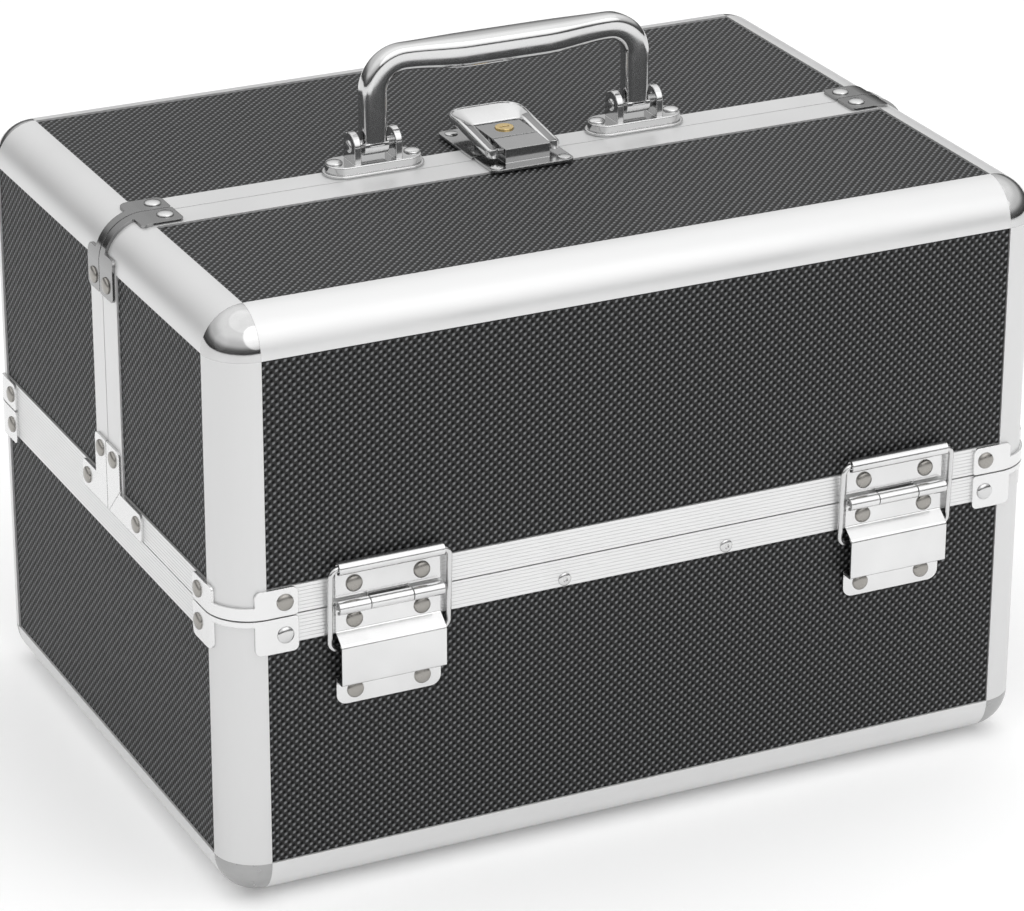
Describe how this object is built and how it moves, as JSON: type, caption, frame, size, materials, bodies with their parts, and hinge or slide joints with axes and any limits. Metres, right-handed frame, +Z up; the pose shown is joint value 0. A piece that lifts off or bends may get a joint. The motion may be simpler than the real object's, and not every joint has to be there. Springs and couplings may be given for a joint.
{
  "type": "makeup storage case with handle",
  "caption": "Hard makeup case with an aluminium frame, dotted black panels, a lid that opens to the front, level cantilever trays, a folding handle and a key-lock hasp.",
  "frame": {"origin": "on the floor under the middle of the closed case", "axes": "+Z up, -Y towards the front where the lid hinges are, +X to the right seen from the front"},
  "size_m": [0.3044, 0.2239, 0.2504],
  "materials": {
    "satin_aluminium": "satin extruded aluminium",
    "textured_panel": "embossed black plastic sheet on board",
    "chrome": "polished chrome plating",
    "plated_steel": "bright plated steel",
    "grey_plastic": "grey moulded plastic",
    "nickel_rivet": "nickel plated rivet heads",
    "brass_key": "polished brass",
    "black_lining": "black lining",
    "black_tray": "black moulded plastic",
    "rubber": "black rubber"
  },
  "bodies": {
    "case_base": {"band_screws": "nickel_rivet", "base_bottom_board": "textured_panel", "base_corner_plates": "plated_steel", "base_front_band": "satin_aluminium", "base_front_board": "textured_panel", "base_front_posts": "satin_aluminium", "base_rear_board": "textured_panel", "base_rivets": "nickel_rivet", "base_side_bands": "satin_aluminium", "base_side_boards": "textured_panel", "bottom_corner_caps": "grey_plastic", "bottom_rails": "satin_aluminium", "case_linings": "black_lining", "feet": "rubber", "handle_brackets": "chrome", "handle_pins": "chrome", "hinge_lower_leaves": "plated_steel", "hinge_pins": "plated_steel", "lock_housing": "chrome", "rear_band": "satin_aluminium", "rear_corner_caps": "chrome", "rear_junction_plates": "plated_steel", "rear_mouth_channels": "satin_aluminium", "rear_posts": "satin_aluminium", "rear_seam_straps": "plated_steel", "rear_side_boards": "textured_panel", "rear_top_board": "textured_panel", "rear_top_rails": "satin_aluminium", "rear_upper_board": "textured_panel", "tray_pivots": "plated_steel"},
    "front_lid": {"lid_bands": "satin_aluminium", "lid_corner_caps": "chrome", "lid_corner_plates": "plated_steel", "lid_front_board": "textured_panel", "lid_junction_plates": "plated_steel", "lid_lining": "black_lining", "lid_mouth_channels": "satin_aluminium", "lid_posts": "satin_aluminium", "lid_rails": "satin_aluminium", "lid_rivets": "nickel_rivet", "lid_seam_straps": "plated_steel", "lid_side_boards": "textured_panel", "lid_top_board": "textured_panel", "hinge_upper_leaves": "plated_steel", "hasp_block": "chrome", "hasp_pin": "chrome", "tray_bars": "plated_steel"},
    "handle": {"handle": "chrome"},
    "hasp": {"hasp": "chrome"},
    "key_cylinder": {"key_cylinder": "brass_key"},
    "lock_bolt_left": {"lock_bolt_left": "plated_steel"},
    "lock_bolt_right": {"lock_bolt_right": "plated_steel"},
    "stay_ring_left": {"stay_ring_left": "plated_steel"},
    "stay_ring_right": {"stay_ring_right": "plated_steel"},
    "tray_arm_left": {"tray_arm_left": "plated_steel"},
    "tray_arm_right": {"tray_arm_right": "plated_steel"},
    "upper_tray": {"upper_tray": "black_tray", "upper_dividers": "black_tray"},
    "lower_tray": {"lower_tray": "black_tray", "lower_dividers": "black_tray"}
  },
  "joints": [
    {"name": "lid_hinge", "type": "hinge", "parent": "case_base", "child": "front_lid", "pos_m": [0, -0.1107, 0.105], "axis": [1, 0, 0], "range_deg": [0, 90]},
    {"name": "stay_left_hinge", "type": "hinge", "parent": "front_lid", "child": "stay_ring_left", "pos_m": [-0.0937, -0.1107, 0.119], "axis": [-1, 0, 0], "range_deg": [0, 59.4]},
    {"name": "arm_left_hinge", "type": "hinge", "parent": "case_base", "child": "tray_arm_left", "pos_m": [-0.142, -0.0687, 0.097], "axis": [1, 0, 0], "range_deg": [0, 90]},
    {"name": "stay_right_hinge", "type": "hinge", "parent": "front_lid", "child": "stay_ring_right", "pos_m": [0.0937, -0.1107, 0.119], "axis": [-1, 0, 0], "range_deg": [0, 59.4]},
    {"name": "arm_right_hinge", "type": "hinge", "parent": "case_base", "child": "tray_arm_right", "pos_m": [0.142, -0.0687, 0.097], "axis": [1, 0, 0], "range_deg": [0, 90]},
    {"name": "upper_tray_hinge", "type": "hinge", "parent": "front_lid", "child": "upper_tray", "pos_m": [0, -0.0607, 0.155], "axis": [-1, 0, 0], "range_deg": [0, 90]},
    {"name": "lower_tray_hinge", "type": "hinge", "parent": "front_lid", "child": "lower_tray", "pos_m": [0, -0.0857, 0.13], "axis": [-1, 0, 0], "range_deg": [0, 90]},
    {"name": "handle_hinge", "type": "hinge", "parent": "case_base", "child": "handle", "pos_m": [0, 0.0001, 0.217], "axis": [1, 0, 0], "range_deg": [-90, 90]},
    {"name": "hasp_hinge", "type": "hinge", "parent": "front_lid", "child": "hasp", "pos_m": [0, -0.0131, 0.212], "axis": [1, 0, 0], "range_deg": [0, 45]},
    {"name": "key_turn", "type": "hinge", "parent": "case_base", "child": "key_cylinder", "pos_m": [0, 0.0008, 0.2136], "axis": [0, 0, 1], "range_deg": [0, 90]},
    {"name": "bolt_left_slide", "type": "slide", "parent": "case_base", "child": "lock_bolt_left", "axis": [-1, 0, 0], "range_m": [0, 0.0026]},
    {"name": "bolt_right_slide", "type": "slide", "parent": "case_base", "child": "lock_bolt_right", "axis": [1, 0, 0], "range_m": [0, 0.0026]}
  ],
  "couplings": [
    {"joint": "stay_left_hinge", "follows": "lid_hinge", "ratio": 0.66},
    {"joint": "arm_left_hinge", "follows": "lid_hinge", "ratio": 1},
    {"joint": "stay_right_hinge", "follows": "lid_hinge", "ratio": 0.66},
    {"joint": "arm_right_hinge", "follows": "lid_hinge", "ratio": 1},
    {"joint": "upper_tray_hinge", "follows": "lid_hinge", "ratio": 1},
    {"joint": "lower_tray_hinge", "follows": "lid_hinge", "ratio": 1},
    {"joint": "bolt_left_slide", "follows": "key_turn", "m_per_rad": 0.0016552},
    {"joint": "bolt_right_slide", "follows": "key_turn", "m_per_rad": 0.0016552}
  ]
}
